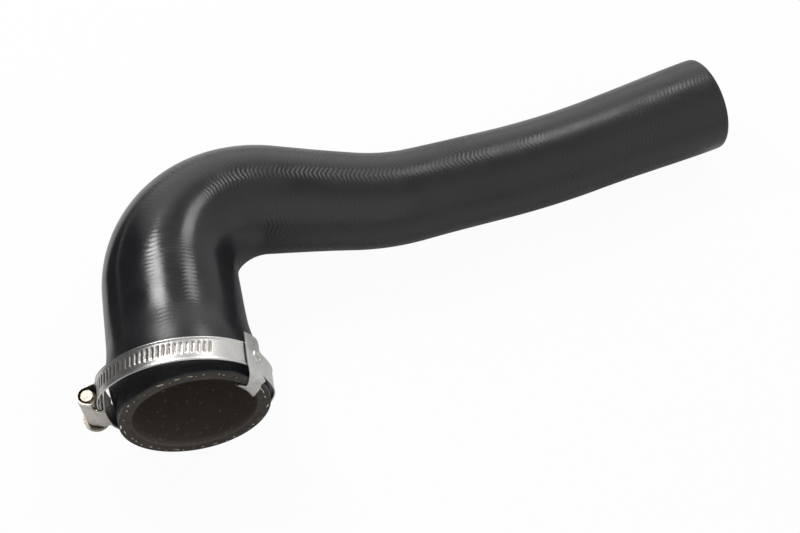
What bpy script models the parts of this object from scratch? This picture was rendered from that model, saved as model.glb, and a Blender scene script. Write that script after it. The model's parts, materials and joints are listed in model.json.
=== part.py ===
"""Charge air hose with the worm-drive clamp and the retaining clip on its wide inlet.

The hose is moulded with its centreline in one plane. Everything is built in that flat
frame first: the inlet end face is centred on the origin, the leg runs along +Y and the
long run turns off towards +X. The whole is then rolled about the leg's direction until
the clamp band and the outlet lip both lie on the floor, as the part lies in use for a
photograph. Lengths are in metres and angles in degrees.
"""

import math

import bmesh
import bpy
import numpy as np
from mathutils import Matrix, Vector

# Hose route
LEG_LENGTH = 0.0734
MAIN_BEND_RADIUS = 0.0475
MAIN_BEND_ANGLE = 102.7
FIRST_RUN_LENGTH = 0.0455
COUNTER_BEND_RADIUS = 0.1037
COUNTER_BEND_ANGLE = 18.1
MIDDLE_RUN_LENGTH = 0.0472
SWEEP_RADIUS = 0.416
SWEEP_ANGLE = 7.2
OUTLET_RUN_LENGTH = 0.0765

# Hose section
INLET_OUTER = 0.0750
INLET_WALL = 0.0065
INLET_BORE = INLET_OUTER - 2 * INLET_WALL
SEAT_LENGTH = 0.0225
SEAT_END_OUTER = 0.0763
SHOULDER_LENGTH = 0.0220
SHOULDER_END_OUTER = 0.0716
LEG_OUTER = 0.0700
LEG_BOW = 0.0018
LEG_BOW_PEAK = 0.0350
LEG_BOW_FADE = 0.0600
MID_BEND_OUTER = 0.0652
BEND_END_OUTER = 0.0578
FIRST_RUN_END_OUTER = 0.0520
MIDDLE_RUN_OUTER = 0.0488
OUTLET_RUN_OUTER = 0.0484
OUTLET_OUTER = 0.0520
RUN_WALL = 0.0055

# Clamp band
BAND_SLACK = 0.0048
BAND_INNER_RADIUS = INLET_OUTER / 2 + BAND_SLACK
BAND_WIDTH = 0.0120
BAND_THICKNESS = 0.0008
BAND_EDGE_CURL = 0.00035
BAND_EDGE_WIDTH = 0.0010
BAND_FLAT_DEPTH = 0.0013
BAND_FLAT_REACH = 30.0
BAND_LAP_CLEARANCE = 4.0
BAND_LAP_RAMP = 30.0
BAND_TAIL_REACH = 0.0120
GROOVE_PITCH = 0.0028
GROOVE_LENGTH = 0.0062
GROOVE_WIDTH = 0.0014
GROOVE_DEPTH = 0.0004
GROOVE_SLANT = 8.0
GROOVE_OFFSET = 0.0005
GROOVE_END_MARGIN = 3.0
GROOVED_ARC = 125.0
SQUEEZE_ANGLE = 20.0
SQUEEZE_DEPTH = 0.0022
SQUEEZE_REACH = 30.0
CLAMP_SETBACK = 0.0127
CLAMP_SIDE_SHIFT = -0.0023
CLAMP_RISE = 0.00345
CLAMP_YAW = 3.9
CLAMP_PITCH = 4.3

# Clamp housing and screw
HOUSING_ANGLE = 185.3
HOOD_TIP_REACH = 0.0100
HOOD_HEAD_REACH = 0.0145
HOOD_INNER_RADIUS = 0.00425
HOOD_FLARE = 16.0
HOOD_NOTCH_LENGTH = 0.0060
HOOD_NOTCH_DROP = 0.0019
SHEET = 0.0009
SADDLE_TIP_REACH = 0.0038
SADDLE_HEAD_REACH = 0.0138
SCREW_CREST_RADIUS = 0.0039
SCREW_ROOT_RADIUS = 0.0031
SCREW_TIP_RADIUS = 0.0030
SCREW_TIP_LENGTH = 0.0028
SCREW_TIP_SETBACK = 0.0004
THREAD_FOOT_HALF = 0.0010
THREAD_CREST_HALF = 0.00035
THREAD_HEAD_CLEARANCE = 0.0014
COLLAR_STANDOFF = 0.0018
COLLAR_RADIUS = 0.0068
COLLAR_THICKNESS = 0.0024
HEX_ACROSS_FLATS = 0.0070
HEX_HEIGHT = 0.0048
SLOT_WIDTH = 0.0013
SLOT_DEPTH = 0.0022

# Retaining clip
CLIP_THICKNESS = 0.0005
CLIP_ANGLE = 36.0
CLIP_PLATE_WIDTH = 0.0158
CLIP_EAR_REACH = 0.0050
CLIP_EAR_WIDTH = 0.0126
CLIP_EAR_CORNER = 0.0026
CLIP_STRAP_WIDTH = 0.0098
CLIP_STRAP_LEAN = 8.5
CLIP_LIP_LEAN = 8.0
CLIP_LIP_WIDTH = 0.0132
CLIP_LIP_DEPTH = 0.0046
CLIP_LIP_ROLL = 0.0023
CLIP_BARB_REACH = 0.0014
CLIP_COLUMNS = 14
BOSS_DIAMETER = 0.0068
BOSS_RECESS_DIAMETER = 0.0050
BOSS_HEIGHT = 0.0006
BOSS_LEAN = 1.0
BOSS_SHIFT = 0.0006

GAP = 0.0003
WELD_DEPTH = 0.0003
HOSE_SEGMENTS = 44
HOSE_STATION_STEP = 0.0078
BAND_STEP_ANGLE = 3.5


def clear_scene():
    for obj in list(bpy.data.objects):
        bpy.data.objects.remove(obj, do_unlink=True)


def material(name, colour, roughness, metallic):
    made = bpy.data.materials.new(name)
    made.use_nodes = True
    shader = made.node_tree.nodes["Principled BSDF"]
    shader.inputs["Base Color"].default_value = (*colour, 1.0)
    shader.inputs["Roughness"].default_value = roughness
    shader.inputs["Metallic"].default_value = metallic
    made.diffuse_color = (*colour, 1.0)
    return made


def mesh_from(name, points, faces):
    mesh = bpy.data.meshes.new(name)
    mesh.from_pydata([tuple(p) for p in points], [], faces)
    work = bmesh.new()
    work.from_mesh(mesh)
    bmesh.ops.recalc_face_normals(work, faces=work.faces)
    work.to_mesh(mesh)
    work.free()
    return mesh


def helper(mesh):
    """A hidden object that only takes part in a Boolean."""
    obj = bpy.data.objects.new(mesh.name, mesh)
    obj.hide_render = True
    obj.display_type = "WIRE"
    bpy.context.scene.collection.objects.link(obj)
    return obj


def combined(mesh, steps):
    """The mesh after a chain of exact Booleans. Each step is an operation and a mesh."""
    body = helper(mesh)
    others = []
    for operation, other_mesh in steps:
        other = helper(other_mesh)
        others.append(other)
        modifier = body.modifiers.new(operation, "BOOLEAN")
        modifier.operation = operation
        modifier.solver = "EXACT"
        modifier.object = other
    bpy.context.view_layer.update()
    graph = bpy.context.evaluated_depsgraph_get()
    result = bpy.data.meshes.new_from_object(body.evaluated_get(graph))
    for obj in [body, *others]:
        bpy.data.objects.remove(obj, do_unlink=True)
    return result


def swept(name, rings):
    """A solid skinned over equal-length rings of points."""
    points = [p for ring in rings for p in ring]
    count = len(rings[0])
    faces = []
    for i in range(len(rings) - 1):
        for j in range(count):
            k = (j + 1) % count
            faces.append(
                (i * count + j, i * count + k, (i + 1) * count + k, (i + 1) * count + j)
            )
    faces.append(tuple(range(count)))
    last = (len(rings) - 1) * count
    faces.append(tuple(range(last, last + count)))
    return mesh_from(name, points, faces)


def prism(name, outline, low, high):
    """An outline in the x-y plane, extruded along z from low to high."""
    return swept(name, [[(x, y, z) for x, y in outline] for z in (low, high)])


def disc(name, radius, low, high, segments, first=0.0):
    turns = [first + 2 * math.pi * i / segments for i in range(segments)]
    outline = [(radius * math.cos(turn), radius * math.sin(turn)) for turn in turns]
    return prism(name, outline, low, high)


def smooth_through(stations, values, at):
    """Monotone cubic interpolation, so that the hose has no ripple between stations."""
    x = np.asarray(stations, float)
    y = np.asarray(values, float)
    step = np.diff(x)
    rate = np.diff(y) / step
    slope = np.zeros(len(x))
    for i in range(1, len(x) - 1):
        if rate[i - 1] * rate[i] > 0:
            before = 2 * step[i] + step[i - 1]
            after = step[i] + 2 * step[i - 1]
            slope[i] = (before + after) / (before / rate[i - 1] + after / rate[i])
    at = np.clip(at, x[0], x[-1])
    i = np.clip(np.searchsorted(x, at, side="right") - 1, 0, len(x) - 2)
    t = (at - x[i]) / step[i]
    return (
        y[i] * (1 + 2 * t) * (1 - t) ** 2
        + step[i] * slope[i] * t * (1 - t) ** 2
        + y[i + 1] * t * t * (3 - 2 * t)
        - step[i] * slope[i + 1] * t * t * (1 - t)
    )


ROUTE = (
    (LEG_LENGTH, 0.0),
    (MAIN_BEND_RADIUS * math.radians(MAIN_BEND_ANGLE), -MAIN_BEND_ANGLE),
    (FIRST_RUN_LENGTH, 0.0),
    (COUNTER_BEND_RADIUS * math.radians(COUNTER_BEND_ANGLE), COUNTER_BEND_ANGLE),
    (MIDDLE_RUN_LENGTH, 0.0),
    (SWEEP_RADIUS * math.radians(SWEEP_ANGLE), SWEEP_ANGLE),
    (OUTLET_RUN_LENGTH, 0.0),
)


def route_ends():
    """Distance along the centreline at the end of each route segment."""
    return np.cumsum([length for length, _ in ROUTE])


def centreline():
    """Centre, heading and distance of each station along the hose."""
    x = y = run = 0.0
    heading = math.pi / 2
    stations = [(x, y, heading, run)]
    for length, angle in ROUTE:
        steps = max(1, math.ceil(length / HOSE_STATION_STEP))
        turn = math.radians(angle) / steps
        chord = length / steps
        if turn:
            chord *= math.sin(turn / 2) / (turn / 2)
        for _ in range(steps):
            x += chord * math.cos(heading + turn / 2)
            y += chord * math.sin(heading + turn / 2)
            heading += turn
            run += length / steps
            stations.append((x, y, heading, run))
    return stations


def outer_radius(run):
    ends = route_ends()
    at = [
        0.0,
        SEAT_LENGTH,
        SEAT_LENGTH + SHOULDER_LENGTH,
        ends[0],
        (ends[0] + ends[1]) / 2,
        ends[1],
        ends[2],
        (ends[3] + ends[4]) / 2,
        ends[5],
        ends[6],
    ]
    across = [
        INLET_OUTER,
        SEAT_END_OUTER,
        SHOULDER_END_OUTER,
        LEG_OUTER,
        MID_BEND_OUTER,
        BEND_END_OUTER,
        FIRST_RUN_END_OUTER,
        MIDDLE_RUN_OUTER,
        OUTLET_RUN_OUTER,
        OUTLET_OUTER,
    ]
    return smooth_through(at, across, run) / 2


def bore_radius(run):
    shoulder_end = SEAT_LENGTH + SHOULDER_LENGTH
    end = route_ends()[-1]
    wall = smooth_through(
        [0.0, SEAT_LENGTH, shoulder_end, end],
        [INLET_WALL, INLET_WALL, RUN_WALL, RUN_WALL],
        run,
    )
    return outer_radius(run) - wall


def bow(run):
    """How far the leg stands out sideways from the straight line through its end."""
    if run < LEG_BOW_PEAK:
        t = run / LEG_BOW_PEAK
    else:
        t = max(0.0, 1 - (run - LEG_BOW_PEAK) / LEG_BOW_FADE)
    return LEG_BOW * t * t * (3 - 2 * t)


def hose_mesh():
    stations = centreline()
    points = []
    for radius_of in (outer_radius, bore_radius):
        for x, y, heading, run in stations:
            radius = float(radius_of(run))
            for j in range(HOSE_SEGMENTS):
                turn = 2 * math.pi * j / HOSE_SEGMENTS
                across = radius * math.cos(turn) + bow(run)
                points.append(
                    (
                        x - across * math.sin(heading),
                        y + across * math.cos(heading),
                        radius * math.sin(turn),
                    )
                )
    count = HOSE_SEGMENTS
    inside = len(stations) * count
    last = (len(stations) - 1) * count
    faces = []
    for base in (0, inside):
        for i in range(len(stations) - 1):
            for j in range(count):
                k = (j + 1) % count
                a = base + i * count
                faces.append((a + j, a + k, a + count + k, a + count + j))
    for j in range(count):
        k = (j + 1) % count
        faces.append((j, k, inside + k, inside + j))
        faces.append((last + j, last + k, inside + last + k, inside + last + j))
    return mesh_from("hose", points, faces)


# The clamp frame: origin in the middle of the band's width, +Y along the ring's axis into
# the hose, angles measured from +X towards +Z.
CLAMP_FRAME = (
    Matrix.Translation((CLAMP_SIDE_SHIFT, CLAMP_SETBACK, CLAMP_RISE))
    @ Matrix.Rotation(-math.radians(CLAMP_YAW), 4, "Z")
    @ Matrix.Rotation(math.radians(CLAMP_PITCH), 4, "X")
)
LAYER_STEP = BAND_THICKNESS + GAP
BAND_OUTER_RADIUS = BAND_INNER_RADIUS + BAND_THICKNESS
LAPPED_OUTER_RADIUS = BAND_OUTER_RADIUS + LAYER_STEP
HOUSING_RISE = LAPPED_OUTER_RADIUS + GAP + SCREW_CREST_RADIUS
BAND_START = HOUSING_ANGLE - math.degrees(HOOD_TIP_REACH / BAND_OUTER_RADIUS)
BAND_END = HOUSING_ANGLE + 360 + math.degrees(BAND_TAIL_REACH / BAND_OUTER_RADIUS)


def pulled_in(angle, centre, depth, reach):
    """How far the ring is flattened at an angle, fading out at the reach each side."""
    off_centre = abs((angle - centre + 180) % 360 - 180)
    away = min(1.0, off_centre / reach)
    return depth * math.cos(math.pi / 2 * away) ** 2


def clamp_point(radius, angle, along):
    """A point in the clamp frame. The ring is flatter under the housing and by the clip."""
    seated = radius - pulled_in(angle, HOUSING_ANGLE, BAND_FLAT_DEPTH, BAND_FLAT_REACH)
    seated -= pulled_in(angle, SQUEEZE_ANGLE, SQUEEZE_DEPTH, SQUEEZE_REACH)
    turn = math.radians(angle)
    return (seated * math.cos(turn), along, seated * math.sin(turn))


def layer_lift(angle):
    """How far the band has climbed onto its own start."""
    ramp_start = BAND_START + 360 - BAND_LAP_CLEARANCE - BAND_LAP_RAMP
    t = min(1.0, max(0.0, (angle - ramp_start) / BAND_LAP_RAMP))
    return LAYER_STEP * t * t * (3 - 2 * t)


def band_section(radius):
    half = BAND_WIDTH / 2
    flat = half - BAND_EDGE_WIDTH
    curl = BAND_EDGE_CURL
    top = radius + BAND_THICKNESS
    return [
        (radius + curl, -half),
        (radius, -flat),
        (radius, flat),
        (radius + curl, half),
        (top + curl, half),
        (top, flat),
        (top, -flat),
        (top + curl, -half),
    ]


def groove_cutter(angle):
    """One slanted oblong cutter that stands through the band's outer surface."""
    arc = BAND_OUTER_RADIUS + layer_lift(angle)
    half_straight = (GROOVE_LENGTH - GROOVE_WIDTH) / 2
    outline = []
    for end, start in ((1, 0.0), (-1, 180.0)):
        for step in range(4):
            turn = math.radians(start + 60 * step)
            outline.append(
                (
                    GROOVE_WIDTH / 2 * math.cos(turn),
                    end * half_straight + GROOVE_WIDTH / 2 * math.sin(turn),
                )
            )
    slant = math.radians(GROOVE_SLANT)
    rings = []
    for radius in (arc - GROOVE_DEPTH, arc + 2 * GROOVE_DEPTH):
        ring = []
        for across, along in outline:
            turned = across * math.cos(slant) - along * math.sin(slant)
            length = across * math.sin(slant) + along * math.cos(slant)
            ring.append(
                clamp_point(
                    radius, angle + math.degrees(turned / arc), length + GROOVE_OFFSET
                )
            )
        rings.append(ring)
    return rings


def grooves_mesh():
    points = []
    faces = []
    spacing = math.degrees(GROOVE_PITCH / BAND_OUTER_RADIUS)
    for index in range(round(GROOVED_ARC / spacing)):
        rings = groove_cutter(BAND_END - GROOVE_END_MARGIN - index * spacing)
        base = len(points)
        count = len(rings[0])
        for ring in rings:
            points.extend(ring)
        for j in range(count):
            k = (j + 1) % count
            faces.append((base + j, base + k, base + count + k, base + count + j))
        faces.append(tuple(base + j for j in range(count)))
        faces.append(tuple(base + count + j for j in range(count)))
    return mesh_from("grooves", points, faces)


def band_mesh():
    steps = round((BAND_END - BAND_START) / BAND_STEP_ANGLE)
    rings = []
    for i in range(steps + 1):
        angle = BAND_START + (BAND_END - BAND_START) * i / steps
        section = band_section(BAND_INNER_RADIUS + layer_lift(angle))
        rings.append([clamp_point(radius, angle, along) for radius, along in section])
    return combined(swept("clamp_band", rings), [("DIFFERENCE", grooves_mesh())])


def housing_frame():
    """Screw axis as +Z towards the screw's tip, +X outwards, -Y along the ring's axis."""
    turn = math.radians(HOUSING_ANGLE)
    out = Vector((math.cos(turn), 0.0, math.sin(turn)))
    axial = Vector((0.0, -1.0, 0.0))
    tip = out.cross(axial)
    centre = out * (HOUSING_RISE - BAND_FLAT_DEPTH)
    frame = Matrix(
        (
            (out.x, axial.x, tip.x, centre.x),
            (out.y, axial.y, tip.y, centre.y),
            (out.z, axial.z, tip.z, centre.z),
            (0.0, 0.0, 0.0, 1.0),
        )
    )
    return frame


def placed(mesh, frame):
    mesh.transform(frame)
    return mesh


def sector(name, inner, outer, half_width, low, high):
    """Part of a ring about the clamp's axis, from one reach to another along the screw."""
    rings = []
    start = HOUSING_ANGLE - math.degrees(high / outer)
    end = HOUSING_ANGLE - math.degrees(low / outer)
    steps = 8
    for i in range(steps + 1):
        angle = start + (end - start) * i / steps
        corners = (
            (inner, -half_width),
            (inner, half_width),
            (outer, half_width),
            (outer, -half_width),
        )
        rings.append([clamp_point(radius, angle, along) for radius, along in corners])
    return swept(name, rings)


def hood_outline(radius, foot):
    """An arch about the screw whose walls flare on their way down to the foot."""
    lean = math.radians(HOOD_FLARE)
    steps = 16
    turns = [(math.pi - 2 * lean) * (step / steps - 0.5) for step in range(steps + 1)]
    arch = [(radius * math.cos(turn), radius * math.sin(turn)) for turn in turns]
    reach = radius / math.cos(lean) + foot * math.tan(lean)
    return [(-foot, -reach), *arch, (-foot, reach)]


def housing_mesh():
    """A hood over the screw on a saddle round both layers of the band.

    The hood's wall on the side of the hose's end is notched above the saddle.
    """
    frame = housing_frame()
    cavity_low = BAND_INNER_RADIUS - GAP
    cavity_high = LAPPED_OUTER_RADIUS + BAND_EDGE_CURL + GAP
    cavity_half = BAND_WIDTH / 2 + GAP
    outer_high = cavity_high + SHEET
    outer_half = cavity_half + SHEET
    low = -SADDLE_HEAD_REACH
    saddle = sector(
        "saddle", cavity_low - SHEET, outer_high, outer_half, low, SADDLE_TIP_REACH
    )
    hood_foot = HOUSING_RISE - cavity_high + SHEET / 2
    hood = placed(
        prism(
            "hood",
            hood_outline(HOOD_INNER_RADIUS + SHEET, hood_foot),
            -HOOD_HEAD_REACH,
            HOOD_TIP_REACH,
        ),
        frame,
    )
    band_way = sector(
        "band_way", cavity_low, cavity_high, cavity_half, 2 * low, 2 * HOOD_TIP_REACH
    )
    channel_foot = HOUSING_RISE - cavity_low - SHEET
    screw_way = placed(
        prism(
            "screw_way",
            hood_outline(HOOD_INNER_RADIUS, channel_foot),
            -2 * HOOD_HEAD_REACH,
            2 * HOOD_TIP_REACH,
        ),
        frame,
    )
    far = 2 * BAND_WIDTH
    drop = HOOD_NOTCH_DROP
    notch = placed(
        prism(
            "notch",
            [(-far, 0.0), (-drop, 0.0), (-drop, far), (-far, far)],
            HOOD_TIP_REACH - HOOD_NOTCH_LENGTH,
            2 * HOOD_TIP_REACH,
        ),
        frame,
    )
    return combined(
        saddle,
        [
            ("UNION", hood),
            ("DIFFERENCE", band_way),
            ("DIFFERENCE", screw_way),
            ("DIFFERENCE", notch),
        ],
    )


def thread_mesh(low, high):
    """A helical ridge about +Z, its foot sunk in the shank."""
    per_turn = 20
    turns = (high - low) / GROOVE_PITCH
    steps = round(turns * per_turn)
    foot = SCREW_ROOT_RADIUS - WELD_DEPTH
    rings = []
    for i in range(steps + 1):
        turn = 2 * math.pi * i / per_turn
        height = low + GROOVE_PITCH * i / per_turn
        section = (
            (foot, -THREAD_FOOT_HALF),
            (foot, THREAD_FOOT_HALF),
            (SCREW_CREST_RADIUS, THREAD_CREST_HALF),
            (SCREW_CREST_RADIUS, -THREAD_CREST_HALF),
        )
        rings.append(
            [
                (radius * math.cos(turn), radius * math.sin(turn), height + rise)
                for radius, rise in section
            ]
        )
    return swept("thread", rings)


def screw_mesh():
    """Built about +Z with its tip up, in the housing's frame."""
    tip_top = HOOD_TIP_REACH - SCREW_TIP_SETBACK
    tip_foot = tip_top - SCREW_TIP_LENGTH
    collar_top = -HOOD_HEAD_REACH - COLLAR_STANDOFF
    collar_foot = collar_top - COLLAR_THICKNESS
    hex_foot = collar_foot - HEX_HEIGHT
    shank = disc(
        "worm_screw",
        SCREW_ROOT_RADIUS,
        collar_top - WELD_DEPTH,
        tip_foot + WELD_DEPTH,
        32,
    )
    tip = disc("tip", SCREW_TIP_RADIUS, tip_foot, tip_top, 32)
    collar = disc("collar", COLLAR_RADIUS, collar_foot, collar_top, 40)
    corner = HEX_ACROSS_FLATS / 2 / math.cos(math.pi / 6)
    head = disc("head", corner, hex_foot, collar_foot + WELD_DEPTH, 6, math.pi / 6)
    slot_half = SLOT_WIDTH / 2
    slot_reach = 2 * corner
    slot = prism(
        "slot",
        [
            (-slot_reach, -slot_half),
            (slot_reach, -slot_half),
            (slot_reach, slot_half),
            (-slot_reach, slot_half),
        ],
        hex_foot - SLOT_DEPTH,
        hex_foot + SLOT_DEPTH,
    )
    thread = thread_mesh(collar_top + THREAD_HEAD_CLEARANCE, tip_foot - WELD_DEPTH)
    return combined(
        shank,
        [
            ("UNION", thread),
            ("UNION", tip),
            ("UNION", collar),
            ("UNION", head),
            ("DIFFERENCE", slot),
        ],
    )


def hose_point(radius, angle, along):
    turn = math.radians(angle)
    return Vector((radius * math.cos(turn), along, radius * math.sin(turn)))


def clip_row(point_at, radius, along, centre, width, barb=0.0):
    """Points across the clip at one height. A barb widens its upper side."""
    reach = math.degrees(width / 2 / radius)
    first = centre + reach + math.degrees(barb / radius)
    last = centre - reach
    angles = [
        first + (last - first) * j / CLIP_COLUMNS for j in range(CLIP_COLUMNS + 1)
    ]
    return [point_at(radius, angle, along) for angle in angles]


def clip_rows():
    """Middle surface of the clip from the ear's top to the lip's end, as rows of points."""
    half = CLIP_THICKNESS / 2
    plate_radius = BAND_OUTER_RADIUS + BAND_EDGE_CURL + GAP + half
    stand = GAP + half
    bore = INLET_BORE / 2
    rim = INLET_OUTER / 2
    band_half = BAND_WIDTH / 2
    band_edge = band_half + GAP
    rows = []

    def on_band(radius, angle, along):
        return CLAMP_FRAME @ Vector(clamp_point(radius, angle, along))

    ear_top = band_half + CLIP_EAR_REACH
    ear = (
        (ear_top, CLIP_EAR_WIDTH - CLIP_EAR_CORNER),
        (ear_top - CLIP_EAR_CORNER * 0.3, CLIP_EAR_WIDTH - CLIP_EAR_CORNER * 0.3),
        (ear_top - CLIP_EAR_CORNER, CLIP_EAR_WIDTH),
        (band_half * 0.9, CLIP_EAR_WIDTH),
        (band_half * 0.65, (CLIP_EAR_WIDTH + CLIP_PLATE_WIDTH) / 2),
        (band_half * 0.4, CLIP_PLATE_WIDTH),
        (0.0, CLIP_PLATE_WIDTH),
        (-band_half * 0.65, CLIP_PLATE_WIDTH),
        (-band_edge, CLIP_PLATE_WIDTH),
    )
    for along, width in ear:
        shift = math.degrees((CLIP_PLATE_WIDTH - width) / 2 / plate_radius)
        rows.append(clip_row(on_band, plate_radius, along, CLIP_ANGLE + shift, width))

    bend_width = (CLIP_PLATE_WIDTH * 2 + CLIP_STRAP_WIDTH) / 3
    rows.append(
        clip_row(
            on_band,
            plate_radius - CLIP_THICKNESS,
            -band_edge - 2 * CLIP_THICKNESS,
            CLIP_ANGLE,
            bend_width,
        )
    )
    wall = rim - bore
    strap = (
        (rim + wall * 0.45, -CLIP_STRAP_LEAN * 0.3, (bend_width + CLIP_STRAP_WIDTH) / 2),
        (rim, 0.0, CLIP_STRAP_WIDTH),
        (rim - wall * 0.35, CLIP_STRAP_LEAN * 0.45, CLIP_STRAP_WIDTH),
        (rim - wall * 0.65, CLIP_STRAP_LEAN * 0.8, CLIP_STRAP_WIDTH),
        (bore + stand, CLIP_STRAP_LEAN, CLIP_STRAP_WIDTH),
    )
    for radius, lean, width in strap:
        rows.append(clip_row(hose_point, radius, -stand, CLIP_ANGLE - lean, width))

    roll = CLIP_LIP_ROLL
    end_width = CLIP_LIP_WIDTH * 0.7
    lip = (
        (bore - roll * 0.1, -stand, CLIP_LIP_WIDTH, CLIP_BARB_REACH),
        (bore - roll * 0.7, -stand * 0.6, CLIP_LIP_WIDTH, CLIP_BARB_REACH),
        (bore - roll, roll * 0.35, CLIP_LIP_WIDTH, CLIP_BARB_REACH),
        (bore - roll * 0.9, roll, CLIP_LIP_WIDTH, 0.0),
        (bore - stand * 1.2, CLIP_LIP_DEPTH, end_width, 0.0),
    )
    for radius, along, width, barb in lip:
        centre = CLIP_ANGLE - CLIP_LIP_LEAN
        rows.append(clip_row(hose_point, radius, along, centre, width, barb))
    return rows


def sheet_from(name, rows, thickness):
    """A sheet of even thickness about the rows' surface."""
    grid = np.array([[tuple(p) for p in row] for row in rows])
    along = np.gradient(grid, axis=0)
    across = np.gradient(grid, axis=1)
    normal = np.cross(along, across)
    normal /= np.linalg.norm(normal, axis=2)[:, :, None]
    count_i, count_j = grid.shape[:2]
    points = []
    for side in (0.5, -0.5):
        points.extend((grid + normal * thickness * side).reshape(-1, 3))
    under = count_i * count_j
    faces = []
    for base in (0, under):
        for i in range(count_i - 1):
            for j in range(count_j - 1):
                a = base + i * count_j + j
                faces.append((a, a + 1, a + count_j + 1, a + count_j))
    rim = list(range(count_j))
    rim += [i * count_j + count_j - 1 for i in range(1, count_i)]
    rim += [(count_i - 1) * count_j + j for j in range(count_j - 2, -1, -1)]
    rim += [i * count_j for i in range(count_i - 2, 0, -1)]
    for a, b in zip(rim, rim[1:] + rim[:1]):
        faces.append((a, b, under + b, under + a))
    return mesh_from(name, points, faces)


def clip_mesh():
    plate_top = BAND_OUTER_RADIUS + BAND_EDGE_CURL + GAP + CLIP_THICKNESS
    angle = CLIP_ANGLE - BOSS_LEAN
    centre = Vector(clamp_point(plate_top, angle, BOSS_SHIFT))
    before = Vector(clamp_point(plate_top, angle - 1.0, BOSS_SHIFT))
    after = Vector(clamp_point(plate_top, angle + 1.0, BOSS_SHIFT))
    out = (after - before).cross(Vector((0.0, 1.0, 0.0)))
    if out.dot(centre) < 0:
        out = -out
    spin = out.to_track_quat("Z", "Y").to_matrix().to_4x4()
    base = CLAMP_FRAME @ Matrix.Translation(centre) @ spin
    boss = placed(
        disc("boss", BOSS_DIAMETER / 2, -CLIP_THICKNESS * 0.8, BOSS_HEIGHT, 28), base
    )
    recess = placed(
        disc("recess", BOSS_RECESS_DIAMETER / 2, 0.0, 2 * BOSS_HEIGHT, 24), base
    )
    sheet = sheet_from("retaining_clip", clip_rows(), CLIP_THICKNESS)
    return combined(sheet, [("UNION", boss), ("DIFFERENCE", recess)])


def lowest(points, roll, mask):
    heights = points[mask][:, 2] * math.cos(roll) - points[mask][:, 0] * math.sin(roll)
    i = int(np.argmin(heights))
    return heights[i], points[mask][i, 0]


def resting_frame(meshes):
    """The roll that lays the clamp and the outlet on the floor, and the shift to the origin."""
    points = {
        name: np.array([tuple(v.co) for v in mesh.vertices])
        for name, mesh in meshes.items()
    }
    hose = points["hose"]
    outlet = hose[:, 0] > hose[:, 0].max() / 2
    band = points["clamp_band"]
    everywhere = np.ones(len(band), bool)
    roll = 0.0
    for _ in range(20):
        outlet_height, outlet_x = lowest(hose, roll, outlet)
        band_height, band_x = lowest(band, roll, everywhere)
        roll += (outlet_height - band_height) / (outlet_x - band_x)
    turned = Matrix.Rotation(roll, 4, "Y")
    every = np.concatenate(list(points.values()))
    every = every @ np.array(turned.to_3x3()).T
    low = every.min(axis=0)
    high = every.max(axis=0)
    middle = (low + high) / 2
    return Matrix.Translation((-middle[0], -middle[1], -low[2])) @ turned


def add(mesh, name, look, smooth_angle):
    mesh.name = name
    obj = bpy.data.objects.new(name, mesh)
    bpy.context.scene.collection.objects.link(obj)
    mesh.materials.clear()
    mesh.materials.append(look)
    mesh.shade_smooth()
    work = bmesh.new()
    work.from_mesh(mesh)
    bmesh.ops.triangulate(work, faces=[f for f in work.faces if len(f.verts) > 4])
    for edge in work.edges:
        sharp = edge.calc_face_angle(0.0) > math.radians(smooth_angle)
        edge.smooth = not sharp
    work.to_mesh(mesh)
    work.free()
    return obj


def build():
    clear_scene()
    rubber = material("black_rubber", (0.020, 0.020, 0.022), 0.45, 0.0)
    stainless = material("stainless_band", (0.62, 0.61, 0.60), 0.30, 1.0)
    housing_steel = material("stainless_housing", (0.55, 0.54, 0.53), 0.38, 1.0)
    zinc = material("zinc_plated_screw", (0.72, 0.67, 0.58), 0.35, 1.0)
    spring = material("spring_steel_clip", (0.58, 0.57, 0.55), 0.42, 1.0)

    meshes = {
        "hose": hose_mesh(),
        "clamp_band": placed(band_mesh(), CLAMP_FRAME),
        "clamp_housing": placed(housing_mesh(), CLAMP_FRAME),
        "worm_screw": placed(screw_mesh(), CLAMP_FRAME @ housing_frame()),
        "retaining_clip": clip_mesh(),
    }
    rest = resting_frame(meshes)
    for mesh in meshes.values():
        mesh.transform(rest)

    screw_centre = (rest @ CLAMP_FRAME @ housing_frame()).translation
    meshes["worm_screw"].transform(Matrix.Translation(-screw_centre))
    looks = {
        "hose": (rubber, 40),
        "clamp_band": (stainless, 30),
        "clamp_housing": (housing_steel, 30),
        "worm_screw": (zinc, 30),
        "retaining_clip": (spring, 35),
    }
    for name, mesh in meshes.items():
        look, smooth_angle = looks[name]
        obj = add(mesh, name, look, smooth_angle)
        if name == "worm_screw":
            obj.location = screw_centre


build()
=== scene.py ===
"""Looks for the charge air hose: moulded rubber, a grooved stainless clamp and a spring clip.

Every piece is built in the CAD frame. The hose and the clamp are worked out in the hose's
own flat frame, where the inlet's end face is centred on the origin, the leg runs along +Y
and the long run turns off towards +X, and are then laid down as the CAD part lies.
Lengths are in metres and angles in degrees.
"""

import json
import math
import random

import bmesh
import bpy
from mathutils import Matrix, Vector


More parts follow.
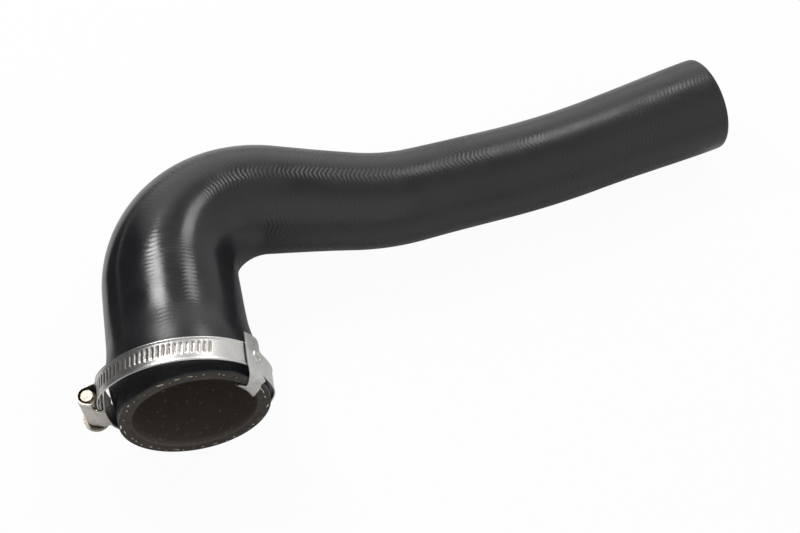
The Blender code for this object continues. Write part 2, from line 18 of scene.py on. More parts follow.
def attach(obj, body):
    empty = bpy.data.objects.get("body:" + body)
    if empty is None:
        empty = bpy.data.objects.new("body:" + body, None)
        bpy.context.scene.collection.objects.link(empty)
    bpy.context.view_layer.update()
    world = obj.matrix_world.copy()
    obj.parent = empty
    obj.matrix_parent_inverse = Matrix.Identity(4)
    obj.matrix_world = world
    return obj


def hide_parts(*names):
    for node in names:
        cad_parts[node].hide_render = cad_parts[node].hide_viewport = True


# The hose's route: length and turn of each stretch
LEG_LENGTH = 0.0734
MAIN_BEND_RADIUS = 0.0475
MAIN_BEND_ANGLE = 102.7
FIRST_RUN_LENGTH = 0.0455
COUNTER_BEND_RADIUS = 0.1037
COUNTER_BEND_ANGLE = 18.1
MIDDLE_RUN_LENGTH = 0.0472
SWEEP_RADIUS = 0.416
SWEEP_ANGLE = 7.2
OUTLET_RUN_LENGTH = 0.0765

# Diameters along the hose
INLET_OUTER = 0.0750
INLET_WALL = 0.0065
SEAT_LENGTH = 0.0225
SEAT_END_OUTER = 0.0763
SHOULDER_LENGTH = 0.0220
SHOULDER_END_OUTER = 0.0716
LEG_OUTER = 0.0700
LEG_BOW = 0.0018
LEG_BOW_PEAK = 0.0350
LEG_BOW_FADE = 0.0600
MID_BEND_OUTER = 0.0652
BEND_END_OUTER = 0.0578
FIRST_RUN_END_OUTER = 0.0520
MIDDLE_RUN_OUTER = 0.0488
OUTLET_RUN_OUTER = 0.0484
OUTLET_OUTER = 0.0520
RUN_WALL = 0.0055
CUT_EDGE_RADIUS = 0.0004
CUT_CORNER_SHARE = 0.3
HOSE_SEGMENTS = 128
OUTER_STEP = 0.0016
BORE_STEP = 0.0040

# Fabric pressed into the rubber, and its cut yarns on the inlet face
KNIT_COURSES_PER_METRE = 420.0
KNIT_WALES_ROUND = 21.0
KNIT_CHEVRON_LEG = 0.7
KNIT_CHEVRON_RUN = 1.5
KNIT_WOBBLE = 1.1
KNIT_TONE = 0.12
HANDLED_END = LEG_LENGTH * 0.8
YARN_COUNT = 46
YARN_RADIUS = 0.00038
YARN_SIZES = (0.5, 1.2)
YARN_LENGTHS = (0.8, 1.0, 1.4, 2.2, 4.5)
YARN_FLATNESS = 0.5
YARN_DEPTHS = (0.55, 0.85)
YARN_WANDER = 0.4
YARN_LEAN = 0.25
YARN_SEED = 7

# Clamp band
BAND_SLACK = 0.0048
BAND_INNER_RADIUS = INLET_OUTER / 2 + BAND_SLACK
BAND_WIDTH = 0.0120
BAND_THICKNESS = 0.0008
BAND_EDGE_CURL = 0.00035
BAND_EDGE_WIDTH = 0.0010
BAND_FLAT_DEPTH = 0.0013
BAND_FLAT_REACH = 30.0
BAND_LAP_CLEARANCE = 4.0
BAND_LAP_RAMP = 30.0
BAND_TAIL_REACH = 0.0120
GROOVE_PITCH = 0.0028
GROOVE_LENGTH = 0.0066
GROOVE_WIDTH = 0.0021
GROOVE_DEPTH = 0.00030
GROOVE_STEEPNESS = 1.35
GROOVE_SLANT = 8.0
GROOVE_OFFSET = 0.0005
GROOVE_END_MARGIN = 3.0
GROOVE_COUNT = 35
BAND_WALL_SHARE = 0.9
BAND_COLUMN_STEP = 0.00035
BAND_ROWS = 22
GAP = 0.0003
HOUSING_ANGLE = 185.3
HOOD_TIP_REACH = 0.0100
SQUEEZE_ANGLE = 20.0
SQUEEZE_DEPTH = 0.0022
SQUEEZE_REACH = 30.0
CLAMP_SETBACK = 0.0127
CLAMP_SIDE_SHIFT = -0.0023
CLAMP_RISE = 0.00345
CLAMP_YAW = 3.9
CLAMP_PITCH = 4.3

# Colours of each finish, dark then pale
RUBBER_COLOURS = ((0.008, 0.0085, 0.010), (0.019, 0.0195, 0.0215))
CUT_RUBBER_COLOURS = ((0.020, 0.016, 0.013), (0.056, 0.046, 0.036))
# The bore's colours are painted paler than the lining's own: painted light for the dim bore
BORE_COLOURS_PAINTED_PALER = ((0.080, 0.064, 0.052), (0.30, 0.22, 0.16))
YARN_COLOURS = ((0.20, 0.16, 0.11), (0.74, 0.70, 0.55))
BAND_COLOURS = ((0.66, 0.65, 0.63), (0.76, 0.75, 0.73))
# Painted shade for the band's pressed grooves: a brown colour, and its share at a groove's
# full depth
GROOVE_PAINTED_SHADE_COLOUR = (0.30, 0.25, 0.20)
GROOVE_PAINTED_SHADE_STRENGTH = 0.75
HOUSING_COLOURS = ((0.54, 0.50, 0.46), (0.74, 0.70, 0.66))
CLIP_COLOURS = ((0.66, 0.66, 0.64), (0.84, 0.83, 0.80))
SCREW_DULL_COLOURS = ((0.30, 0.26, 0.22), (0.46, 0.42, 0.36))
SCREW_PALE_COLOURS = ((0.48, 0.42, 0.35), (0.72, 0.66, 0.57))
CARD_BLACK = (0.01, 0.01, 0.01)

# A sheet metal's fine grain, against its blotches
FINE_GRAIN_RATIO = 9.0

# Heights between which the screw's zinc turns from dull to pale
SCREW_PALE_HEIGHTS = (0.042, 0.048)

# Camera, placed from the inlet's centre
CAMERA_OFFSET = (0.01044, -0.40707, 0.72993)
CAMERA_DIRECTION = (0.121286, 0.535590, -0.835723)
CAMERA_ROLL = -0.38
LENS = 76.375
SENSOR = 36.0

# Floor, room and lamps. The room's brightness is a sum of patches. A patch is a product of
# slopes over the world's directions: axis, from, to, level below, level above.
FLOOR_CENTRE = (0.0, 0.0, 0.0)
FLOOR_SIZE = (12.0, 12.0)
FLOOR_GLOW = 0.95
FLOOR_GREY = 0.80
FLOOR_WHITE = 0.90
ROOM_PATCHES = (
    (("X", -0.55, -0.05, 0.05, 0.42),),
    (("X", 0.30, 0.90, 0.0, 0.30),),
    (("Y", 0.62, 0.85, 0.0, 0.90), ("X", -0.56, -0.26, 0.0, 1.0)),
    (("Y", -0.60, 0.00, 0.20, 0.0),),
)
CARD_CENTRE = (-0.605, 0.285, 0.001)
CARD_SIZE = (0.76, 0.51)
LEG_TARGET = (-0.129, -0.030, 0.075)
RUN_TARGET = (0.060, 0.020, 0.060)

# Each softbox: name, place, size, power in watts, what it faces
SOFTBOXES = (
    ("leg_softbox", (-0.340, 0.460, 0.700), (0.25, 0.20), 2.7, LEG_TARGET),
    ("run_softbox", (0.310, 0.390, 0.650), (0.20, 0.30), 0.95, RUN_TARGET),
    ("front_fill", (-0.350, -0.750, 0.550), (1.4, 1.0), 1.6, LEG_TARGET),
)

# The hose's three finishes, by material slot
OUTSIDE, CUT_FACE, BORE = range(3)

BODY = "hose_assembly"
SCREW_BODY = "screw"


def smooth_step(t):
    t = min(1.0, max(0.0, t))
    return t * t * (3 - 2 * t)


# Where the CAD part lies


def inlet_centre(hose_node):
    face = min(v.co.y for v in hose_node.data.vertices)
    rim = [v.co for v in hose_node.data.vertices if v.co.y < face + 1e-5]
    middle = [(min(p[i] for p in rim) + max(p[i] for p in rim)) / 2 for i in (0, 2)]
    return Vector((middle[0], face, middle[1]))


def resting_roll(record):
    outlet = next(m for m in record["mounts"] if m["name"] == "outlet_face")
    return math.atan2(-outlet["axis"][2], outlet["axis"][0])


# The hose


def route():
    """Length and turn of each stretch of the centreline."""
    return (
        (LEG_LENGTH, 0.0),
        (MAIN_BEND_RADIUS * math.radians(MAIN_BEND_ANGLE), -MAIN_BEND_ANGLE),
        (FIRST_RUN_LENGTH, 0.0),
        (COUNTER_BEND_RADIUS * math.radians(COUNTER_BEND_ANGLE), COUNTER_BEND_ANGLE),
        (MIDDLE_RUN_LENGTH, 0.0),
        (SWEEP_RADIUS * math.radians(SWEEP_ANGLE), SWEEP_ANGLE),
        (OUTLET_RUN_LENGTH, 0.0),
    )


def route_ends():
    ends = []
    total = 0.0
    for length, _ in route():
        total += length
        ends.append(total)
    return ends


def station(run):
    """The frame of the hose at a distance along it: +Z along the centreline."""
    x = y = 0.0
    heading = math.pi / 2
    left = run
    for length, angle in route():
        part = min(left, length)
        turn = math.radians(angle) * part / length
        chord = part if not turn else part * math.sin(turn / 2) / (turn / 2)
        x += chord * math.cos(heading + turn / 2)
        y += chord * math.sin(heading + turn / 2)
        heading += turn
        left -= part
        if left <= 0:
            break
    across = Vector((-math.sin(heading), math.cos(heading), 0.0))
    along = Vector((math.cos(heading), math.sin(heading), 0.0))
    up = Vector((0.0, 0.0, 1.0))
    turned = Matrix((across, up, along)).transposed().to_4x4()
    return Matrix.Translation(Vector((x, y, 0.0)) + across * bow(run)) @ turned


def bow(run):
    """How far the leg stands out sideways from the straight line through its end."""
    if run < LEG_BOW_PEAK:
        return LEG_BOW * smooth_step(run / LEG_BOW_PEAK)
    return LEG_BOW * smooth_step(1 - (run - LEG_BOW_PEAK) / LEG_BOW_FADE)


def profile(points, run):
    """Monotone cubic through stations, the same as the CAD part uses."""
    xs = [p[0] for p in points]
    ys = [p[1] for p in points]
    steps = [b - a for a, b in zip(xs, xs[1:])]
    rates = [(b - a) / step for a, b, step in zip(ys, ys[1:], steps)]
    slopes = [0.0] * len(xs)
    for i in range(1, len(xs) - 1):
        if rates[i - 1] * rates[i] > 0:
            before = 2 * steps[i] + steps[i - 1]
            after = steps[i] + 2 * steps[i - 1]
            slopes[i] = (before + after) / (before / rates[i - 1] + after / rates[i])
    run = min(xs[-1], max(xs[0], run))
    i = max(j for j in range(len(xs) - 1) if xs[j] <= run)
    t = (run - xs[i]) / steps[i]
    return (
        ys[i] * (1 + 2 * t) * (1 - t) ** 2
        + steps[i] * slopes[i] * t * (1 - t) ** 2
        + ys[i + 1] * t * t * (3 - 2 * t)
        - steps[i] * slopes[i + 1] * t * t * (1 - t)
    )


def outer_radius(run):
    ends = route_ends()
    points = (
        (0.0, INLET_OUTER),
        (SEAT_LENGTH, SEAT_END_OUTER),
        (SEAT_LENGTH + SHOULDER_LENGTH, SHOULDER_END_OUTER),
        (ends[0], LEG_OUTER),
        ((ends[0] + ends[1]) / 2, MID_BEND_OUTER),
        (ends[1], BEND_END_OUTER),
        (ends[2], FIRST_RUN_END_OUTER),
        ((ends[3] + ends[4]) / 2, MIDDLE_RUN_OUTER),
        (ends[5], OUTLET_RUN_OUTER),
        (ends[6], OUTLET_OUTER),
    )
    return profile(points, run) / 2


def bore_radius(run):
    points = (
        (0.0, INLET_WALL),
        (SEAT_LENGTH, INLET_WALL),
        (SEAT_LENGTH + SHOULDER_LENGTH, RUN_WALL),
        (route_ends()[-1], RUN_WALL),
    )
    return outer_radius(run) - profile(points, run)


def even_steps(length, step):
    count = math.ceil(length / step)
    return [length * i / count for i in range(count + 1)]


def hose_rings():
    """Distance and radius of each ring: up the outside, over the lip, back down the bore."""
    end = route_ends()[-1]
    edge = CUT_EDGE_RADIUS
    corner = edge * CUT_CORNER_SHARE
    outside = [(0.0, outer_radius(0.0) - edge), (corner, outer_radius(0.0) - corner)]
    outside += [(run, outer_radius(run)) for run in even_steps(end, OUTER_STEP)[1:-1]]
    outside += [(end - corner, outer_radius(end) - corner)]
    outside += [(end, outer_radius(end) - edge)]
    inside = [(end, bore_radius(end) + edge), (end - edge, bore_radius(end))]
    inside += [(run, bore_radius(run)) for run in even_steps(end, BORE_STEP)[-2:0:-1]]
    inside += [(edge, bore_radius(0.0)), (0.0, bore_radius(0.0) + edge)]
    return outside, inside


def moulded_hose(lie):
    work = bmesh.new()
    turn_layer = work.verts.layers.float.new("turn")
    run_layer = work.verts.layers.float.new("run")
    bmesh.ops.create_circle(work, cap_ends=False, radius=1.0, segments=HOSE_SEGMENTS)
    for vert in work.verts:
        vert[turn_layer] = math.atan2(vert.co.y, vert.co.x) / (2 * math.pi) % 1.0
    outside, inside = hose_rings()
    side_layer = work.verts.layers.int.new("side")
    verts = list(work.verts)
    loop = first_loop = list(work.edges)
    placed = Matrix.Identity(4)
    for index, (run, radius) in enumerate(outside + inside):
        if index:
            grown = bmesh.ops.extrude_edge_only(work, edges=loop)["geom"]
            verts = [g for g in grown if isinstance(g, bmesh.types.BMVert)]
            loop = [g for g in grown if isinstance(g, bmesh.types.BMEdge)]
        place = station(run) @ Matrix.Diagonal((radius, radius, 1.0, 1.0))
        move = place @ placed.inverted()
        bmesh.ops.transform(work, matrix=move, verts=verts)
        placed = place
        for vert in verts:
            vert[run_layer] = run
            vert[side_layer] = BORE if index >= len(outside) else OUTSIDE
    bmesh.ops.bridge_loops(work, edges=first_loop + loop)
    bmesh.ops.recalc_face_normals(work, faces=work.faces)
    along = work.loops.layers.uv.new("along_hose")
    for face in work.faces:
        turns = [corner.vert[turn_layer] for corner in face.loops]
        wraps = max(turns) - min(turns) > 0.5
        for corner, turn in zip(face.loops, turns):
            unwrapped = turn + 1.0 if wraps and turn < 0.5 else turn
            corner[along].uv = (unwrapped, corner.vert[run_layer])
        sides = {vert[side_layer] for vert in face.verts}
        face.material_index = sides.pop() if len(sides) == 1 else CUT_FACE
        face.smooth = True
    mesh = bpy.data.meshes.new("moulded_hose")
    work.to_mesh(mesh)
    work.free()
    mesh.transform(lie)
    return piece("moulded_hose", mesh, BODY, "hose")


def yarn_ends(lie):
    """Cut ends of the fabric's yarns, standing out of the inlet face. A depth of 1 is the
    hose's outside and 0 is its bore."""
    random.seed(YARN_SEED)
    work = bmesh.new()
    for index in range(YARN_COUNT):
        turn = 2 * math.pi * (index + random.uniform(-YARN_WANDER, YARN_WANDER)) / YARN_COUNT
        depth = random.uniform(*YARN_DEPTHS)
        radius = INLET_OUTER / 2 - INLET_WALL * (1 - depth)
        length = random.choice(YARN_LENGTHS)
        size = YARN_RADIUS * random.uniform(*YARN_SIZES)
        spot = Matrix.Translation((radius * math.cos(turn), 0.0, radius * math.sin(turn)))
        spot = spot @ Matrix.Rotation(-turn - math.pi / 2, 4, "Y")
        spot = spot @ Matrix.Rotation(random.uniform(-YARN_LEAN, YARN_LEAN), 4, "Y")
        spot = spot @ Matrix.Diagonal((size * length, size * YARN_FLATNESS, size, 1.0))
        bmesh.ops.create_icosphere(work, subdivisions=2, radius=1.0, matrix=spot)
    for face in work.faces:
        face.smooth = True
    mesh = bpy.data.meshes.new("yarn_ends")
    work.to_mesh(mesh)
    work.free()
    mesh.transform(lie)
    return piece("yarn_ends", mesh, BODY, None)


# The clamp


def clamp_frame():
    """Middle of the band's width, +Y along the ring's axis into the hose."""
    return (
        Matrix.Translation((CLAMP_SIDE_SHIFT, CLAMP_SETBACK, CLAMP_RISE))
        @ Matrix.Rotation(-math.radians(CLAMP_YAW), 4, "Z")
        @ Matrix.Rotation(math.radians(CLAMP_PITCH), 4, "X")
    )


def pulled_in(angle, centre, depth, reach):
    off_centre = abs((angle - centre + 180) % 360 - 180)
    away = min(1.0, off_centre / reach)
    return depth * math.cos(math.pi / 2 * away) ** 2


def clamp_point(radius, angle, along):
    """The ring is flatter under the housing and beside the clip."""
    seated = radius - pulled_in(angle, HOUSING_ANGLE, BAND_FLAT_DEPTH, BAND_FLAT_REACH)
    seated -= pulled_in(angle, SQUEEZE_ANGLE, SQUEEZE_DEPTH, SQUEEZE_REACH)
    turn = math.radians(angle)
    return Vector((seated * math.cos(turn), along, seated * math.sin(turn)))


def groove_depth(arc_from_end, along):
    """Depth of the pressed grooves at a place on the flat strip."""
    index = round(arc_from_end / GROOVE_PITCH)
    if not 0 <= index < GROOVE_COUNT:
        return 0.0
    across = arc_from_end - index * GROOVE_PITCH
    length = along - GROOVE_OFFSET
    slant = math.radians(GROOVE_SLANT)
    turned = across * math.cos(slant) - length * math.sin(slant)
    length = across * math.sin(slant) + length * math.cos(slant)
    straight = (GROOVE_LENGTH - GROOVE_WIDTH) / 2
    away = math.hypot(turned, max(0.0, abs(length) - straight))
    return GROOVE_DEPTH * smooth_step(GROOVE_STEEPNESS * (1 - away / (GROOVE_WIDTH / 2)))


def clamp_band(lie):
    """A flat strip with pressed grooves and curled edges, rolled into its ring."""
    outer = BAND_INNER_RADIUS + BAND_THICKNESS
    start = HOUSING_ANGLE - math.degrees(HOOD_TIP_REACH / outer)
    end = HOUSING_ANGLE + 360 + math.degrees(BAND_TAIL_REACH / outer)
    ramp_start = start + 360 - BAND_LAP_CLEARANCE - BAND_LAP_RAMP
    lift = BAND_THICKNESS + GAP
    arc = math.radians(end - start) * outer
    margin = math.radians(GROOVE_END_MARGIN) * outer
    middle = BAND_INNER_RADIUS + BAND_THICKNESS / 2
    flat = BAND_WIDTH / 2 - BAND_EDGE_WIDTH
    work = bmesh.new()
    bmesh.ops.create_grid(
        work, x_segments=round(arc / BAND_COLUMN_STEP), y_segments=BAND_ROWS, size=0.5
    )
    strip = work.loops.layers.uv.new("strip")
    pressed = work.verts.layers.float.new("pressed")
    for face in work.faces:
        face.smooth = True
        for loop in face.loops:
            loop[strip].uv = ((loop.vert.co.x + 0.5) * arc, loop.vert.co.y * BAND_WIDTH)
    for vert in work.verts:
        share = vert.co.x + 0.5
        along = vert.co.y * BAND_WIDTH
        angle = start + (end - start) * share
        radius = middle + lift * smooth_step((angle - ramp_start) / BAND_LAP_RAMP)
        radius += BAND_EDGE_CURL * max(0.0, (abs(along) - flat) / BAND_EDGE_WIDTH)
        depth = groove_depth(arc * (1 - share) - margin, along)
        # The groove's depth share, which later sets the band's painted shade in the grooves
        vert[pressed] = depth / GROOVE_DEPTH
        radius -= depth
        vert.co = clamp_point(radius, angle, along)
    mesh = bpy.data.meshes.new("grooved_band")
    work.to_mesh(mesh)
    work.free()
    mesh.transform(lie @ clamp_frame())
    made = piece("grooved_band", mesh, BODY, "clamp_band")
    wall = made.modifiers.new("wall", "SOLIDIFY")
    wall.thickness = BAND_THICKNESS * BAND_WALL_SHARE
    wall.offset = 0.0
    return made


# Pieces that keep the CAD shape and gain rounded edges


def rounded_copy(name, node, body, width, smooth_angle):
    work = bmesh.new()
    work.from_mesh(frame["nodes"][node].data)
    bmesh.ops.remove_doubles(work, verts=work.verts, dist=1e-6)
    bmesh.ops.dissolve_limit(
        work, angle_limit=math.radians(1.0), verts=work.verts, edges=work.edges
    )
    mesh = bpy.data.meshes.new(name)
    work.to_mesh(mesh)
    work.free()
    mesh.shade_smooth()
    mesh.set_sharp_from_angle(angle=math.radians(smooth_angle))
    made = piece(name, mesh, body, node)
    bevel = made.modifiers.new("edges", "BEVEL")
    bevel.width = width
    bevel.segments = 2
    bevel.limit_method = "ANGLE"
    bevel.angle_limit = math.radians(smooth_angle)
    bevel.harden_normals = True
    return made


def piece(name, mesh, body, node):
    made = bpy.data.objects.new(name, mesh)
    bpy.context.scene.collection.objects.link(made)
    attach(made, body)
    if node:
        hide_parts(node)
    return made


# Materials


class Finish:
    """A Principled material with a few short ways to wire its nodes. Noise scales are per
    metre, and bump distances are in metres."""

    def __init__(self, name, roughness=None, metallic=0.0):
        self.material = bpy.data.materials.new(name)
        self.material.use_nodes = True
        self.tree = self.material.node_tree
        self.shader = self.tree.nodes["Principled BSDF"]
        self.shader.inputs["Metallic"].default_value = metallic
        if roughness is not None:
            self.shader.inputs["Roughness"].default_value = roughness

    def node(self, kind, **values):
        made = self.tree.nodes.new("ShaderNode" + kind)
        for key, value in values.items():
            setattr(made, key, value)
        return made

    def feed(self, socket, value):
        if isinstance(value, bpy.types.NodeSocket):
            self.tree.links.new(value, socket)
        else:
            socket.default_value = value

    def math(self, operation, *values):
        made = self.node("Math", operation=operation)
        for socket, value in zip(made.inputs, values):
            self.feed(socket, value)
        return made.outputs[0]

    def object_place(self):
        return self.node("TexCoord").outputs["Object"]

    def noise(self, place, scale, detail=3.0, roughness=0.5):
        made = self.node("TexNoise")
        self.feed(made.inputs["Vector"], place)
        made.inputs["Scale"].default_value = scale
        made.inputs["Detail"].default_value = detail
        made.inputs["Roughness"].default_value = roughness
        return made.outputs["Fac"]

    def ramp(self, value, low, high, to_low=0.0, to_high=1.0):
        made = self.node("MapRange")
        for socket, number in zip(made.inputs, (value, low, high, to_low, to_high)):
            self.feed(socket, number)
        return made.outputs["Result"]

    def mix(self, share, first, second):
        made = self.node("Mix", data_type="RGBA")
        self.feed(made.inputs["Factor"], share)
        for name, colour in (("A", first), ("B", second)):
            socket = next(s for s in made.inputs if s.name == name and s.type == "RGBA")
            self.feed(socket, colour if not isinstance(colour, tuple) else (*colour, 1.0))
        return next(s for s in made.outputs if s.type == "RGBA")

    def colour(self, value):
        self.feed(
            self.shader.inputs["Base Color"],
            (*value, 1.0) if isinstance(value, tuple) else value,
        )

    def roughness(self, value):
        self.feed(self.shader.inputs["Roughness"], value)

    def bump(self, height, strength, distance, under=None):
        made = self.node("Bump")
        made.inputs["Strength"].default_value = strength
        made.inputs["Distance"].default_value = distance
        self.feed(made.inputs["Height"], height)
        if under:
            self.feed(made.inputs["Normal"], under)
        return made.outputs["Normal"]

    def normal(self, value):
        self.feed(self.shader.inputs["Normal"], value)


def rubber_finish():
    """Black rubber with the fabric's chevrons showing through its skin."""
    finish = Finish("moulded_rubber")
    place = finish.object_place()
    uv = finish.node("UVMap", uv_map="along_hose").outputs["UV"]
    split = finish.node("SeparateXYZ")
    finish.feed(split.inputs["Vector"], uv)
    run = split.outputs["Y"]
    bend_end = route_ends()[1]

    def from_leg_to_run(on_leg, on_run):
        return finish.ramp(run, LEG_LENGTH, bend_end, on_leg, on_run)

    # The knit: waves across the hose, bent into chevrons, in patches
    wale = finish.math("MULTIPLY", split.outputs["X"], KNIT_WALES_ROUND)
    zigzag = finish.math("PINGPONG", wale, 0.5)
    chevron = from_leg_to_run(KNIT_CHEVRON_LEG, KNIT_CHEVRON_RUN)
    course = finish.math("MULTIPLY", run, KNIT_COURSES_PER_METRE)
    bent = finish.math("ADD", course, finish.math("MULTIPLY", zigzag, chevron))
    uneven = finish.noise(place, scale=110.0, detail=2.0)
    phase = finish.math("ADD", bent, finish.math("MULTIPLY", uneven, KNIT_WOBBLE))
    wave = finish.math("SINE", finish.math("MULTIPLY", phase, 2 * math.pi))
    patches = finish.noise(place, scale=26.0, detail=3.0)
    patches = finish.ramp(patches, 0.38, 0.62, to_low=0.15, to_high=1.0)
    raised = from_leg_to_run(0.30, 1.0)
    knit = finish.math("MULTIPLY", wave, finish.math("MULTIPLY", patches, raised))

    # Relief: shallow dents, an uneven seat under the clamp, the knit and a fine grain
    dents = finish.noise(place, scale=90.0, detail=2.0)
    dented = finish.bump(dents, strength=0.30, distance=0.0003)
    seat = finish.ramp(run, 0.0, SEAT_LENGTH, to_low=1.0, to_high=0.0)
    pits = finish.noise(place, scale=170.0, detail=3.0, roughness=0.6)
    pits = finish.math("MULTIPLY", pits, seat)
    pitted = finish.bump(pits, strength=0.6, distance=0.0012, under=dented)
    knitted = finish.bump(knit, strength=0.45, distance=0.00011, under=pitted)
    grain = finish.noise(place, scale=900.0, detail=4.0, roughness=0.6)
    finish.normal(finish.bump(grain, strength=0.12, distance=0.00008, under=knitted))

    # Shine: blotchy, duller at the seat and on the run
    blotches = finish.noise(place, scale=30.0, detail=5.0, roughness=0.6)
    polish = finish.ramp(blotches, 0.32, 0.68, to_low=0.08, to_high=0.27)
    handled = finish.ramp(run, SEAT_LENGTH, HANDLED_END, to_low=0.14, to_high=0.0)
    moulded = from_leg_to_run(0.0, 0.15)
    worn = finish.math("ADD", handled, moulded)
    finish.roughness(finish.math("ADD", polish, worn))
    tone = finish.math("ADD", blotches, finish.math("MULTIPLY", knit, KNIT_TONE))
    finish.colour(finish.mix(tone, *RUBBER_COLOURS))
    return finish.material


def cut_rubber_finish():
    """The sawn end: matte, a little brown, with fine saw marks."""
    finish = Finish("cut_rubber", roughness=0.7)
    place = finish.object_place()
    mottle = finish.noise(place, scale=260.0, detail=5.0, roughness=0.7)
    finish.colour(finish.mix(finish.ramp(mottle, 0.35, 0.70), *CUT_RUBBER_COLOURS))
    marks = finish.noise(place, scale=800.0, detail=4.0, roughness=0.7)
    finish.normal(finish.bump(marks, strength=0.5, distance=0.0003))
    return finish.material


def bore_finish():
    """The bore's lining: dark brown with pale specks of fabric; its colours are painted paler
    than the lining's own, as painted light where little light reaches into the bore.
    """
    finish = Finish("bore_lining", roughness=0.6)
    place = finish.object_place()
    specks = finish.noise(place, scale=420.0, detail=3.0, roughness=0.7)
    finish.colour(finish.mix(finish.ramp(specks, 0.60, 0.72), *BORE_COLOURS_PAINTED_PALER))
    lumps = finish.noise(place, scale=500.0, detail=4.0, roughness=0.6)
    finish.normal(finish.bump(lumps, strength=0.4, distance=0.0003))
    return finish.material


def sheet_finish(name, colours, roughness, grain_scale):
    """Satin sheet metal: blotchy in colour, with a fine grain in its shine."""
    finish = Finish(name, metallic=1.0)
    place = finish.object_place()
    blotches = finish.noise(place, grain_scale, detail=5.0, roughness=0.65)
    finish.colour(finish.mix(finish.ramp(blotches, 0.3, 0.7), *colours))
    fine = finish.noise(place, grain_scale * FINE_GRAIN_RATIO, detail=4.0, roughness=0.6)
    low, high = roughness
    finish.roughness(finish.ramp(fine, 0.25, 0.75, to_low=low, to_high=high))
    finish.normal(finish.bump(fine, strength=0.2, distance=0.00006))
    return finish.material


def band_finish():
    """Bright rolled stainless with brown painted shade in the pressed grooves, darker where
    they are deeper.
    """
    finish = Finish("rolled_stainless", metallic=1.0)
    place = finish.object_place()
    blotches = finish.noise(place, scale=300.0, detail=5.0, roughness=0.65)
    steel = finish.mix(finish.ramp(blotches, 0.3, 0.7), *BAND_COLOURS)
    # Painted shade in the grooves: the steel is mixed towards brown by each groove's depth
    pressed = finish.node("Attribute", attribute_name="pressed").outputs["Fac"]
    shade = finish.math("MULTIPLY", pressed, GROOVE_PAINTED_SHADE_STRENGTH)
    finish.colour(finish.mix(shade, steel, GROOVE_PAINTED_SHADE_COLOUR))
    fine = finish.noise(place, scale=1800.0, detail=4.0, roughness=0.6)
    finish.roughness(finish.ramp(fine, 0.25, 0.75, to_low=0.28, to_high=0.38))
    finish.normal(finish.bump(fine, strength=0.08, distance=0.00003))
    return finish.material


def screw_finish():
    """Zinc plate: pale on the cut tip, duller and browner down the shank and collar."""
    finish = Finish("zinc_plate", roughness=0.36, metallic=1.0)
    place = finish.object_place()
    split = finish.node("SeparateXYZ")
    finish.feed(split.inputs["Vector"], place)
    height = finish.ramp(split.outputs["Z"], *SCREW_PALE_HEIGHTS)
    blotches = finish.noise(place, scale=500.0, detail=4.0, roughness=0.65)
    blotches = finish.ramp(blotches, 0.3, 0.7)
    dull = finish.mix(blotches, *SCREW_DULL_COLOURS)
    pale = finish.mix(blotches, *SCREW_PALE_COLOURS)
    finish.colour(finish.mix(height, dull, pale))
    finish.normal(finish.bump(blotches, strength=0.2, distance=0.0001))
    return finish.material


def yarn_finish():
    """Undyed yarn, partly stained by the rubber."""
    finish = Finish("cut_yarn", roughness=0.85)
    place = finish.object_place()
    stains = finish.noise(place, scale=160.0, detail=4.0, roughness=0.7)
    finish.colour(finish.mix(finish.ramp(stains, 0.38, 0.62), *YARN_COLOURS))
    return finish.material


def dress(obj, *finishes):
    """Fills the material slots without touching which face uses which slot."""
    while obj.data.materials:
        obj.data.materials.pop()
    for finish in finishes:
        obj.data.materials.append(finish)


# Floor, light and camera


def white_surface(strength):
    """White to the camera, with a part of its own shading, and grey in reflections."""
    made = bpy.data.materials.new("white_floor")
    made.use_nodes = True
    tree = made.node_tree
    tree.nodes.clear()
    path = tree.nodes.new("ShaderNodeLightPath")
    seen = path.outputs["Is Camera Ray"]
    share = tree.nodes.new("ShaderNodeMath")
    share.operation = "MULTIPLY"
    tree.links.new(seen, share.inputs[0])
    share.inputs[1].default_value = strength
    shade = tree.nodes.new("ShaderNodeMapRange")
    tree.links.new(seen, shade.inputs["Value"])
    shade.inputs["To Min"].default_value = FLOOR_GREY
    shade.inputs["To Max"].default_value = FLOOR_WHITE
    matte = tree.nodes.new("ShaderNodeBsdfDiffuse")
    tree.links.new(shade.outputs["Result"], matte.inputs["Color"])
    glow = tree.nodes.new("ShaderNodeEmission")
    mixed = tree.nodes.new("ShaderNodeMixShader")
    tree.links.new(share.outputs[0], mixed.inputs["Fac"])
    tree.links.new(matte.outputs[0], mixed.inputs[1])
    tree.links.new(glow.outputs[0], mixed.inputs[2])
    out = tree.nodes.new("ShaderNodeOutputMaterial")
    tree.links.new(mixed.outputs[0], out.inputs["Surface"])
    return made


def stage_sheet(name, centre, size):
    work = bmesh.new()
    laid = Matrix.Translation(centre) @ Matrix.Diagonal((*size, 1.0, 1.0))
    bmesh.ops.create_grid(work, x_segments=1, y_segments=1, size=0.5, matrix=laid)
    mesh = bpy.data.meshes.new(name)
    work.to_mesh(mesh)
    work.free()
    made = bpy.data.objects.new(name, mesh)
    bpy.context.scene.collection.objects.link(made)
    return made


def floor():
    made = stage_sheet("floor", FLOOR_CENTRE, FLOOR_SIZE)
    dress(made, white_surface(FLOOR_GLOW))


def black_card():
    """A black card on the floor, seen in reflections only: it keeps the leg's left dark."""
    made = stage_sheet("black_card", CARD_CENTRE, CARD_SIZE)
    made.visible_camera = False
    made.visible_diffuse = False
    made.visible_shadow = False
    black = Finish("black_card", roughness=1.0)
    black.colour(CARD_BLACK)
    dress(made, black.material)


def softbox(name, place, size, power, target):
    light = bpy.data.lights.new(name, "AREA")
    light.shape = "RECTANGLE"
    light.size, light.size_y = size
    light.energy = power
    lamp = bpy.data.objects.new(name, light)
    bpy.context.scene.collection.objects.link(lamp)
    lamp.location = place
    towards = Vector(target) - Vector(place)
    lamp.rotation_euler = towards.to_track_quat("-Z", "Y").to_euler()


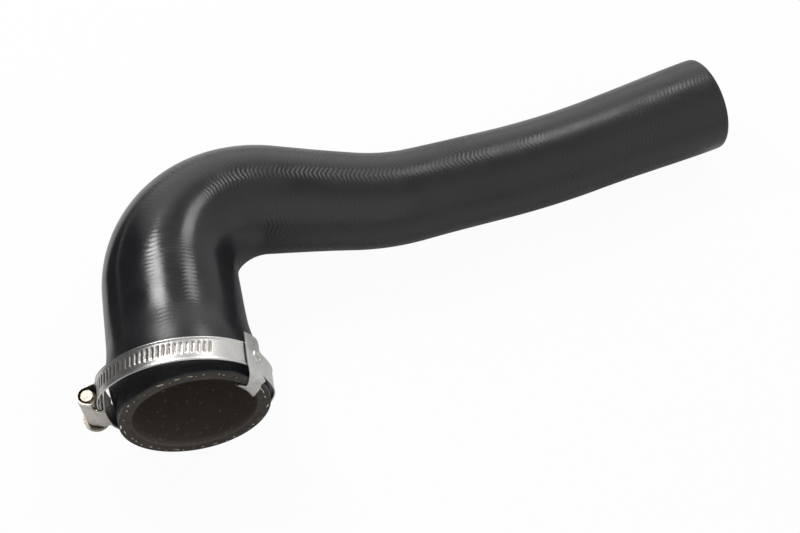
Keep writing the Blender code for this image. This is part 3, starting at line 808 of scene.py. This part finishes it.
def world_light():
    """A white backdrop to the camera; a grey room, dark on the left and bright behind."""
    world = bpy.data.worlds.new("studio")
    bpy.context.scene.world = world
    world.use_nodes = True
    tree = world.node_tree
    tree.nodes.clear()
    path = tree.nodes.new("ShaderNodeLightPath")
    place = tree.nodes.new("ShaderNodeTexCoord")
    split = tree.nodes.new("ShaderNodeSeparateXYZ")
    tree.links.new(place.outputs["Generated"], split.inputs["Vector"])

    def slope(axis, *levels):
        made = tree.nodes.new("ShaderNodeMapRange")
        made.interpolation_type = "SMOOTHSTEP"
        tree.links.new(split.outputs[axis], made.inputs["Value"])
        for name, level in zip(("From Min", "From Max", "To Min", "To Max"), levels):
            made.inputs[name].default_value = level
        return made.outputs["Result"]

    def combined(operation, values):
        total = values[0]
        for value in values[1:]:
            made = tree.nodes.new("ShaderNodeMath")
            made.operation = operation
            tree.links.new(total, made.inputs[0])
            tree.links.new(value, made.inputs[1])
            total = made.outputs[0]
        return total

    patches = [combined("MULTIPLY", [slope(*s) for s in patch]) for patch in ROOM_PATCHES]
    total = combined("ADD", patches)
    room = tree.nodes.new("ShaderNodeBackground")
    tree.links.new(total, room.inputs["Strength"])
    white = tree.nodes.new("ShaderNodeBackground")
    white.inputs["Color"].default_value = (1.0, 1.0, 1.0, 1.0)
    room.inputs["Color"].default_value = (1.0, 1.0, 1.0, 1.0)
    mixed = tree.nodes.new("ShaderNodeMixShader")
    tree.links.new(path.outputs["Is Camera Ray"], mixed.inputs["Fac"])
    tree.links.new(room.outputs[0], mixed.inputs[1])
    tree.links.new(white.outputs[0], mixed.inputs[2])
    out = tree.nodes.new("ShaderNodeOutputWorld")
    tree.links.new(mixed.outputs[0], out.inputs["Surface"])


def camera(target):
    lens = bpy.data.cameras.new("camera")
    lens.lens = LENS
    lens.sensor_width = SENSOR
    made = bpy.data.objects.new("camera", lens)
    bpy.context.scene.collection.objects.link(made)
    forward = Vector(CAMERA_DIRECTION).normalized()
    right = forward.cross(Vector((0.0, 0.0, 1.0))).normalized()
    up = right.cross(forward)
    turned = Matrix((right, up, -forward)).transposed().to_4x4()
    turned = turned @ Matrix.Rotation(math.radians(CAMERA_ROLL), 4, "Z")
    made.matrix_world = Matrix.Translation(target + Vector(CAMERA_OFFSET)) @ turned
    bpy.context.scene.camera = made


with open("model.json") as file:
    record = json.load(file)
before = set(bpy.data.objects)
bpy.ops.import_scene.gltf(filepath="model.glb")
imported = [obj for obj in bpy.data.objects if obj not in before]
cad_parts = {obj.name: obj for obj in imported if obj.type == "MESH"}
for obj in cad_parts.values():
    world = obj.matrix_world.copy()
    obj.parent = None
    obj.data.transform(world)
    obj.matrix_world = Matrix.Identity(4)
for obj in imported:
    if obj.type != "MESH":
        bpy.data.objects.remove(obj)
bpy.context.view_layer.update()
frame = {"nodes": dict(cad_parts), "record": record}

inlet = inlet_centre(frame["nodes"]["hose"])
lie = Matrix.Translation(inlet) @ Matrix.Rotation(resting_roll(frame["record"]), 4, "Y")

hose = moulded_hose(lie)
yarns = yarn_ends(lie)
band = clamp_band(lie)
housing = rounded_copy(
    "formed_housing", "clamp_housing", BODY, width=0.00018, smooth_angle=35
)
screw = rounded_copy(
    "slotted_screw", "worm_screw", SCREW_BODY, width=0.00015, smooth_angle=35
)
clip = rounded_copy(
    "barbed_clip", "retaining_clip", BODY, width=0.0001, smooth_angle=50
)

dress(hose, rubber_finish(), cut_rubber_finish(), bore_finish())
dress(yarns, yarn_finish())
dress(band, band_finish())
dress(housing, sheet_finish("formed_stainless", HOUSING_COLOURS, (0.27, 0.44), 260.0))
dress(screw, screw_finish())
dress(clip, sheet_finish("spring_steel", CLIP_COLOURS, (0.33, 0.50), 220.0))

floor()
black_card()
for lamp in SOFTBOXES:
    softbox(*lamp)
world_light()
camera(inlet)
bpy.context.scene.view_settings.view_transform = "Standard"
